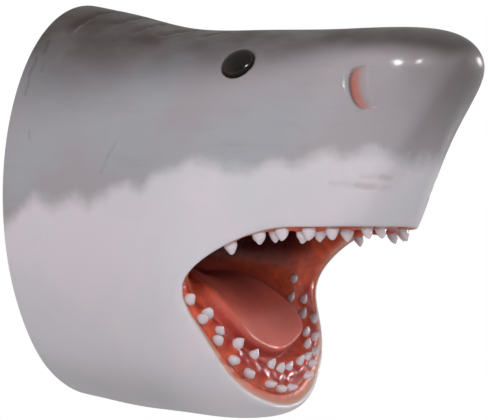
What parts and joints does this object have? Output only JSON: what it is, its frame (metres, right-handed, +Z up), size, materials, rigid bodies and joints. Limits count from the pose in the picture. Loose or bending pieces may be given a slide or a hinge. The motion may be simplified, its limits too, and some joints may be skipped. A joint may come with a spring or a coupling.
{
  "type": "shark head wall sculpture",
  "caption": "Wall-hung great white shark head with open toothed jaws, a hollow painted casting with glossy set-in eyes.",
  "frame": {"origin": "middle of the oval wall rim, on the wall plane", "axes": "+X out from the wall along the snout, +Y to the shark's left, +Z up"},
  "size_m": [0.608, 0.4638, 0.6066],
  "materials": {
    "painted_resin": "painted grey above and white below, red in the mouth, under gloss varnish",
    "eye_black": "high gloss"
  },
  "bodies": {
    "root": {"shark_head": "painted_resin", "eye_left": "eye_black", "eye_right": "eye_black"}
  },
  "joints": []
}
